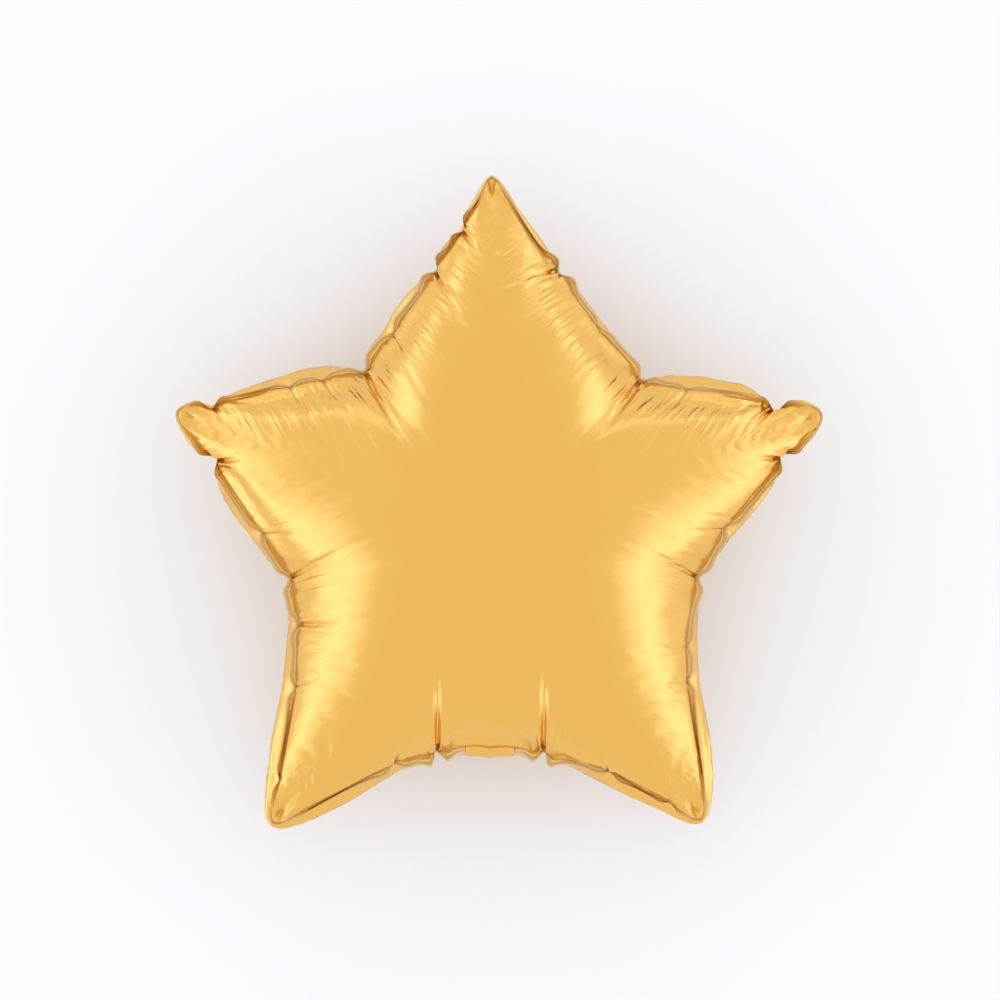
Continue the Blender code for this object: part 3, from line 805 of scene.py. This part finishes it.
def gathered_film(fine, line, settings):
    """The finished envelope: the fine grids welded, then gathered and creased along the seal."""
    faces, uvs, bands, start = [], [], [], 0
    fields = {"place": [], "run": [], "inward": [], "to_ridge": [], "panel": [], "facing": []}
    for grid, carried, edge, shares, panel in fine:
        columns, rows = grid.shape[:2]
        quads = quads_of(start + np.arange(columns * rows).reshape(columns, rows))
        faces.append(quads)
        bands.append(np.full(len(quads), 1 if panel == 0.0 else 0))
        start += columns * rows
        run = np.broadcast_to(line.run(edge, shares)[:, None], (columns, rows))
        fields["place"].append(grid.reshape(-1, 3))
        fields["run"].append(run.reshape(-1))
        fields["inward"].append(carried[:, :, 0].reshape(-1))
        fields["to_ridge"].append(carried[:, :, 1].reshape(-1))
        fields["facing"].append(carried[:, :, 2:5].reshape(-1, 3))
        fields["panel"].append(np.full(columns * rows, panel))
    fields = {name: np.concatenate(parts) for name, parts in fields.items()}
    faces = np.concatenate(faces)
    mesh = bpy.data.meshes.new("foil_envelope")
    mesh.from_pydata(fields["place"].tolist(), [], faces.tolist())
    mesh.polygons.foreach_set("material_index", np.concatenate(bands))
    laid = mesh.uv_layers.new(name="along_and_in_from_seal")
    corners = faces.reshape(-1)
    uvs = np.stack((fields["run"][corners], fields["inward"][corners]), axis=1)
    laid.uv.foreach_set("vector", uvs.astype(np.float32).ravel())
    for name in ("run", "inward", "to_ridge", "panel"):
        kept = mesh.attributes.new(name, "FLOAT", "POINT")
        kept.data.foreach_set("value", fields[name].astype(np.float32))
    facing = mesh.attributes.new("facing", "FLOAT_VECTOR", "POINT")
    facing.data.foreach_set("vector", fields["facing"].astype(np.float32).ravel())
    work = bmesh.new()
    work.from_mesh(mesh)
    bmesh.ops.remove_doubles(work, verts=work.verts, dist=FINE_WELD)
    bmesh.ops.recalc_face_normals(work, faces=work.faces)
    work.to_mesh(mesh)
    work.free()

    count = len(mesh.vertices)
    place, normal, facing = np.empty(count * 3), np.empty(count * 3), np.empty(count * 3)
    mesh.vertices.foreach_get("co", place)
    mesh.vertex_normals.foreach_get("vector", normal)
    mesh.attributes["facing"].data.foreach_get("vector", facing)
    place, normal, facing = (field.reshape(-1, 3) for field in (place, normal, facing))
    run, inward, panel, to_ridge = (np.empty(count) for _ in range(4))
    for name, field in (("run", run), ("inward", inward), ("panel", panel), ("to_ridge", to_ridge)):
        mesh.attributes[name].data.foreach_get("value", field)
    fade = np.clip(1.0 - to_ridge, 0.0, 1.0)
    across = inward / np.maximum(to_ridge, LEAST_SHARE_IN)
    narrow, full = COMB_LEAST_WIDTH
    wide = np.clip((across - narrow) / (full - narrow), 0.0, 1.0)
    front = gathers(line, run, inward, settings.seed) * fade * wide
    back = gathers(line, run, inward, settings.seed + 1) * fade * wide * BACK_GATHER_SHARE
    narrow, over = CREASE_LEAST_WIDTH
    clear_of_point = np.clip((across - narrow) / over, 0.0, 1.0)
    fold = creases(line, run, inward, settings.seed + 2) * np.sqrt(fade) * clear_of_point
    at_seal = np.exp(-((np.maximum(0.0, inward) / SEAL_REACH) ** 2))
    own = np.where(panel < 0.0, back + BACK_CREASE_SHARE * fold, front + fold)
    comb = np.exp(-(((inward - COMB_MIDDLE) / COMB_WIDTH) ** 2))
    comb = comb * fade * wide * gather_share(line, run) * (panel > 0.0)
    streaks = mesh.attributes.new("comb", "FLOAT", "POINT")
    streaks.data.foreach_set("value", comb.astype(np.float32))
    place -= facing * (front * at_seal * SEAL_GATHERED)[:, None]
    place -= normal * (own * (1.0 - at_seal))[:, None]
    place[:, 2] = np.maximum(0.0, place[:, 2] + SEAM_HEIGHT)
    mesh.vertices.foreach_set("co", place.astype(np.float32).ravel())
    for name in ("run", "inward", "to_ridge", "panel", "facing"):
        mesh.attributes.remove(mesh.attributes[name])
    mesh.update()
    mesh.shade_smooth()
    envelope = bpy.data.objects.new("foil_envelope", mesh)
    bpy.context.scene.collection.objects.link(envelope)
    return envelope


def neck_object(fine, line):
    """The inlet neck: a flat tube that rolls over the seal and lies up the back panel."""
    grids = {(edge, panel): grid for grid, _, edge, _, panel in fine}
    placed = {edge: shares for _, _, edge, shares, _ in fine}

    def film(offset, row, panel):
        edge = (NECK_CORNER, 1) if offset < 0.0 else ((NECK_CORNER + 1) % POINTS, -1)
        grid = grids[edge, panel]
        share = 1.0 - abs(offset) / line.length[edge]
        column = np.interp(share, placed[edge], np.arange(FINE_COLUMNS + 1))
        i, j = int(column), int(row)
        i, j = min(i, FINE_COLUMNS - 1), min(j, FINE_ROWS - 1)
        f, g = column - i, row - j
        near = grid[i, j] * (1 - f) + grid[i + 1, j] * f
        far = grid[i, j + 1] * (1 - f) + grid[i + 1, j + 1] * f
        return near * (1 - g) + far * g

    def normal(offset, row, panel):
        here = film(offset, row, panel)
        across = film(offset + NECK_PROBE, row, panel) - film(offset - NECK_PROBE, row, panel)
        up = np.cross(across, film(offset, row + 1.0, panel) - here)
        up /= np.linalg.norm(up)
        return up if up[2] * panel > 0.0 else -up

    def outward(offset):
        edge = (NECK_CORNER, 1) if offset < 0.0 else ((NECK_CORNER + 1) % POINTS, -1)
        _, out = line.at(edge, np.array([1.0 - abs(offset) / line.length[edge]]))
        return np.append(out[0], 0.0)

    last, gone = NECK_FIRST_ROW, 0.0
    while gone < NECK_LENGTH:
        step = film(0.0, last + NECK_STEP, -1.0) - film(0.0, last, -1.0)
        gone += np.linalg.norm(step)
        last += NECK_STEP
    points = []
    rows = 1 + ROLL_ROWS + NECK_ROWS
    for j in range(rows + 1):
        travel = max(0.0, (j - 1 - ROLL_ROWS) / NECK_ROWS)
        width = NECK_WIDTH + (NECK_END_WIDTH - NECK_WIDTH) * travel
        for i in range(NECK_COLUMNS + 1):
            side = i / NECK_COLUMNS * 2.0 - 1.0
            offset = side * width / 2.0
            if j == 0:
                under = normal(offset, NECK_FIRST_ROW, 1.0) * NECK_TUCK
                place = film(offset, NECK_FIRST_ROW, 1.0) - under
            elif j <= ROLL_ROWS:
                turn = math.pi / 2 - math.pi * (j - 0.5) / ROLL_ROWS
                rim = (film(offset, 0.0, 1.0) + film(offset, 0.0, -1.0)) / 2
                reach, rise = NECK_ROLL
                up = np.array((0, 0, rise * math.sin(turn)))
                place = rim + outward(offset) * reach * math.cos(turn) + up
            else:
                row = NECK_FIRST_ROW + (last - NECK_FIRST_ROW) * travel
                fold = sum(deep * math.sin(side * a + travel * b) for deep, a, b in NECK_FOLDS)
                lift = NECK_STAND + fold * min(1.0, travel * 3.0)
                place = film(offset, row, -1.0) + normal(offset, row, -1.0) * lift
            points.append(place + np.array((0.0, 0.0, SEAM_HEIGHT)))
    across = NECK_COLUMNS + 1
    ids = np.arange(len(points)).reshape(rows + 1, across)
    quads = np.stack((ids[:-1, :-1], ids[:-1, 1:], ids[1:, 1:], ids[1:, :-1]), axis=-1).reshape(-1, 4)
    mesh = bpy.data.meshes.new("inlet_neck")
    mesh.from_pydata([tuple(point) for point in points], [], quads.tolist())
    neck = bpy.data.objects.new("inlet_neck", mesh)
    bpy.context.scene.collection.objects.link(neck)
    active(neck)
    wall = neck.modifiers.new("wall", "SOLIDIFY")
    wall.thickness = NECK_WALL
    wall.offset = 0.0
    bpy.ops.object.modifier_apply(modifier="wall")
    soft = neck.modifiers.new("soft", "SUBSURF")
    soft.levels = soft.render_levels = 1
    bpy.ops.object.modifier_apply(modifier="soft")
    bpy.ops.object.mode_set(mode="EDIT")
    bpy.ops.mesh.select_all(action="SELECT")
    bpy.ops.mesh.normals_make_consistent(inside=False)
    bpy.ops.object.mode_set(mode="OBJECT")
    bpy.ops.object.shade_smooth()
    return neck


def rest_on_floor(*pieces):
    """Lower the pieces together until the lowest of them touches the floor."""
    lowest = min(vertex.co.z for piece in pieces for vertex in piece.data.vertices)
    for piece in pieces:
        for vertex in piece.data.vertices:
            vertex.co.z -= lowest


def add(material, kind, settings=None, **links):
    """A shader node with its settings, and with links from other nodes' named sockets."""
    node = material.node_tree.nodes.new(kind)
    for name, value in (settings or {}).items():
        if name in node.inputs:
            node.inputs[name].default_value = value
        else:
            setattr(node, name, value)
    for name, source in links.items():
        material.node_tree.links.new(source, node.inputs[name.replace("_", " ")])
    return node


def new_material(name, colour, metallic, roughness):
    material = bpy.data.materials.new(name)
    material.use_nodes = True
    shader = material.node_tree.nodes["Principled BSDF"]
    shader.inputs["Base Color"].default_value = colour
    shader.inputs["Metallic"].default_value = metallic
    shader.inputs["Roughness"].default_value = roughness
    return material, shader


def foil_material(settings):
    """Metallised film: aluminium vapour under a gold lacquer, bright and slightly hazy."""
    colour, roughness = linear(settings.film_colour), settings.film_roughness
    material, shader = new_material("metallised_film", colour, 1.0, roughness)
    place = add(material, "ShaderNodeTexCoord").outputs["Object"]
    haze = add(material, "ShaderNodeTexNoise", {"Scale": HAZE_SCALE, "Detail": 3.0}, Vector=place)
    range_of = {"To Min": roughness + HAZE[0], "To Max": roughness + HAZE[1]}
    rough = add(material, "ShaderNodeMapRange", range_of, Value=haze.outputs["Fac"])
    laid = add(material, "ShaderNodeUVMap", {"uv_map": "along_and_in_from_seal"})
    pitch = (1.0 / COMB_PITCH, 1.0 / COMB_LENGTH, 1.0)
    spread = add(material, "ShaderNodeMapping", {"Scale": pitch}, Vector=laid.outputs["UV"])
    spread = spread.outputs["Vector"]
    streak = add(material, "ShaderNodeTexNoise", {"Scale": 1.0, "Detail": 1.0}, Vector=spread)
    edges = {"From Min": COMB_EDGES[0], "From Max": COMB_EDGES[1]}
    ridge = add(material, "ShaderNodeMapRange", edges, Value=streak.outputs["Fac"])
    where = add(material, "ShaderNodeAttribute", {"attribute_name": "comb"})
    comb = add(material, "ShaderNodeMath", {"operation": "MULTIPLY"})
    grain = {"Scale": CRINKLE_SCALE, "Detail": 4.0, "Roughness": 0.55}
    crinkle = add(material, "ShaderNodeTexNoise", grain, Vector=place)
    links = material.node_tree.links
    links.new(ridge.outputs["Result"], comb.inputs[0])
    links.new(where.outputs["Fac"], comb.inputs[1])
    deep = {"Strength": 1.0, "Distance": COMB_DEPTH}
    gathered = add(material, "ShaderNodeBump", deep, Height=comb.outputs["Value"])
    fine = {"Strength": CRINKLE[0], "Distance": CRINKLE[1]}
    bump = add(
        material, "ShaderNodeBump", fine,
        Height=crinkle.outputs["Fac"], Normal=gathered.outputs["Normal"],
    )
    links.new(rough.outputs["Result"], shader.inputs["Roughness"])
    links.new(bump.outputs["Normal"], shader.inputs["Normal"])
    return material


def seal_material(settings):
    """Heat-sealed film: the seal bar's fine ribs and the melted layer leave it duller."""
    colour, roughness = linear(settings.seal_colour), settings.seal_roughness
    material, shader = new_material("heat_sealed_film", colour, SEAL_METAL, roughness)
    laid = add(material, "ShaderNodeUVMap", {"uv_map": "along_and_in_from_seal"})
    spread = add(material, "ShaderNodeMapping", {"Scale": RIB_SCALE}, Vector=laid.outputs["UV"])
    wave = {"Scale": 1.0, "Distortion": 0.6, "Detail": 1.0}
    ribs = add(material, "ShaderNodeTexWave", wave, Vector=spread.outputs["Vector"])
    deep = {"Strength": RIB[0], "Distance": RIB[1]}
    bump = add(material, "ShaderNodeBump", deep, Height=ribs.outputs["Fac"])
    material.node_tree.links.new(bump.outputs["Normal"], shader.inputs["Normal"])
    return material


class FilmSettings(bpy.types.PropertyGroup):
    """Sizes and finish of the blown-up film."""

    drawn_tip: bpy.props.FloatProperty(
        name="Point reach", default=0.24, unit="LENGTH",
        description="Middle of the star to a point of the finished seal",
    )
    drawn_corner: bpy.props.FloatProperty(
        name="Corner reach", default=0.1455, unit="LENGTH",
        description="Middle of the star to an inner corner of the finished seal",
    )
    loose_tip: bpy.props.FloatProperty(
        name="Loose point reach", default=0.24, unit="LENGTH",
        description="Point reach before the seal is drawn in",
    )
    loose_corner: bpy.props.FloatProperty(
        name="Loose corner reach", default=0.1467, unit="LENGTH",
        description="Corner reach before the seal is drawn in",
    )
    front_rise: bpy.props.FloatProperty(
        name="Front rise", default=0.0735, unit="LENGTH",
        description="Height of the front panel over the seal",
    )
    back_rise: bpy.props.FloatProperty(
        name="Back rise", default=0.0735, unit="LENGTH",
        description="Depth of the back panel below the seal",
    )
    pressure: bpy.props.FloatProperty(
        name="Pressure", default=4.0,
        description="Gas pressure in the simulated bag",
    )
    stretch: bpy.props.FloatProperty(
        name="Stretch stiffness", default=40.0,
        description="How hard the film is to stretch",
    )
    bending: bpy.props.FloatProperty(
        name="Bending stiffness", default=0.4,
        description="How hard the film is to fold",
    )
    seed: bpy.props.IntProperty(
        name="Seed", default=5,
        description="Chooses where the fine gathers fall",
    )
    film_colour: bpy.props.StringProperty(
        name="Film colour", default="#F1BD61",
        description="Gold lacquer as an sRGB hex value",
    )
    film_roughness: bpy.props.FloatProperty(
        name="Film roughness", default=0.24, subtype="FACTOR",
        description="How hazy the film's reflections are",
    )
    seal_colour: bpy.props.StringProperty(
        name="Seal colour", default="#EAD198",
        description="Heat-sealed film as an sRGB hex value",
    )
    seal_roughness: bpy.props.FloatProperty(
        name="Seal roughness", default=0.38, subtype="FACTOR",
        description="How dull the heat seal is",
    )


class StageSettings(bpy.types.PropertyGroup):
    """Floor, light and camera of the plain stage."""

    floor_colour: bpy.props.StringProperty(
        name="Floor colour", default="#F6F5EF",
        description="Matt paper floor as an sRGB hex value",
    )
    sky: bpy.props.FloatProperty(
        name="Surround", default=0.95,
        description="Strength of the white surround",
    )
    box_power: bpy.props.FloatProperty(
        name="Softbox power", default=10.0,
        description="Power of each side softbox in watts",
    )
    strip_power: bpy.props.FloatProperty(
        name="Strip power", default=2.1,
        description="Power of the brighter strip in each side softbox in watts",
    )
    top_power: bpy.props.FloatProperty(
        name="Top softbox power", default=2.6,
        description="Power of the softbox beyond the top point in watts",
    )
    box_colour: bpy.props.StringProperty(
        name="Softbox colour", default="#A9C0FF",
        description="Cool daylight as an sRGB hex value",
    )
    view_width: bpy.props.FloatProperty(
        name="View width", default=0.694, unit="LENGTH",
        description="Width of the view at the height of the seal",
    )
    lens: bpy.props.FloatProperty(
        name="Lens", default=135.0,
        description="Focal length in millimetres",
    )


class BALLOON_OT_blow_up_film(bpy.types.Operator):
    """Blow up the film envelope and fold its neck up behind it"""

    bl_idname = "balloon.blow_up_film"
    bl_label = "Blow up film"

    def execute(self, context):
        settings = context.scene.balloon_film
        blocks, line = full_and_drawn(settings)
        film, seal, pinned, kept, full = coarse_film(blocks)
        ends = blow_up(film, seal, pinned, settings)
        if not np.isfinite(ends).all():
            raise RuntimeError("The film simulation did not settle")
        ends = held_close(film, ends, full)
        bpy.data.objects.remove(film)
        fine = fine_grids(blocks, ends, kept, line)
        foil, sealed = foil_material(settings), seal_material(settings)
        envelope = gathered_film(fine, line, settings)
        envelope.data.materials.append(foil)
        envelope.data.materials.append(sealed)
        neck = neck_object(fine, line)
        neck.data.materials.append(foil)
        rest_on_floor(envelope, neck)
        for piece in (envelope, neck):
            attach(piece, "root")
            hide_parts(NODE)
        return {"FINISHED"}


def add_softbox(scene, name, box, power, settings, side=1.0):
    """A softbox turned level towards the middle of the stage, on the right or the left."""
    (across, along, up), size = box
    lamp = bpy.data.lights.new(name, "AREA")
    lamp.shape = "RECTANGLE"
    lamp.size, lamp.size_y = size
    lamp.color = linear(settings.box_colour)[:3]
    lamp.energy = power
    softbox = bpy.data.objects.new(name, lamp)
    scene.collection.objects.link(softbox)
    softbox.location = (across * side, along, up)
    aim = Vector((-across * side, 0.0, 0.0)) if across else Vector((0.0, -along, 0.0))
    softbox.rotation_euler = aim.to_track_quat("-Z", "Y").to_euler()


class BALLOON_OT_set_stage(bpy.types.Operator):
    """Lay a plain floor, light it softly and look straight down on the balloon"""

    bl_idname = "balloon.set_stage"
    bl_label = "Set stage"

    def execute(self, context):
        settings = context.scene.balloon_stage
        scene = context.scene
        bpy.ops.object.select_all(action="DESELECT")
        bpy.ops.mesh.primitive_plane_add(size=FLOOR_SIZE, location=(0.0, 0.0, 0.0))
        floor = context.object
        floor.name = "floor"
        paper, _ = new_material("matt_paper", linear(settings.floor_colour), 0.0, 0.8)
        floor.data.materials.append(paper)

        world = bpy.data.worlds.new("white_surround")
        world.use_nodes = True
        surround = world.node_tree.nodes["Background"]
        surround.inputs["Color"].default_value = (1.0, 1.0, 1.0, 1.0)
        surround.inputs["Strength"].default_value = settings.sky
        scene.world = world

        for side in (-1.0, 1.0):
            add_softbox(scene, "side_softbox", SIDE_BOX, settings.box_power, settings, side)
            add_softbox(scene, "side_strip", SIDE_STRIP, settings.strip_power, settings, side)
        add_softbox(scene, "top_softbox", TOP_BOX, settings.top_power, settings)

        sight = bpy.data.cameras.new("camera")
        sight.lens = settings.lens
        sight.sensor_width = SENSOR_WIDTH
        camera = bpy.data.objects.new("camera", sight)
        scene.collection.objects.link(camera)
        distance = settings.view_width * settings.lens / sight.sensor_width
        camera.location = (VIEW_CENTRE[0], VIEW_CENTRE[1], SEAM_HEIGHT + distance)
        scene.camera = camera
        scene.view_settings.view_transform = "Standard"
        return {"FINISHED"}


class BALLOON_PT_sidebar(bpy.types.Panel):
    """Star foil balloon in the sidebar"""

    bl_idname = "BALLOON_PT_sidebar"
    bl_label = "Star foil balloon"
    bl_space_type = "VIEW_3D"
    bl_region_type = "UI"
    bl_category = "Balloon"

    def draw(self, context):
        for settings in (context.scene.balloon_film, context.scene.balloon_stage):
            for name in settings.__annotations__:
                self.layout.prop(settings, name)
        for operator in (BALLOON_OT_blow_up_film, BALLOON_OT_set_stage):
            self.layout.operator(operator.bl_idname)


CLASSES = (FilmSettings, StageSettings, BALLOON_OT_blow_up_film, BALLOON_OT_set_stage, BALLOON_PT_sidebar)


def register():
    for kind in CLASSES:
        bpy.utils.register_class(kind)
    bpy.types.Scene.balloon_film = bpy.props.PointerProperty(type=FilmSettings)
    bpy.types.Scene.balloon_stage = bpy.props.PointerProperty(type=StageSettings)


def unregister():
    del bpy.types.Scene.balloon_film
    del bpy.types.Scene.balloon_stage
    for kind in reversed(CLASSES):
        bpy.utils.unregister_class(kind)


def main():
    register()
    bpy.ops.balloon.blow_up_film()
    bpy.ops.balloon.set_stage()


if __name__ == "__main__":
    main()
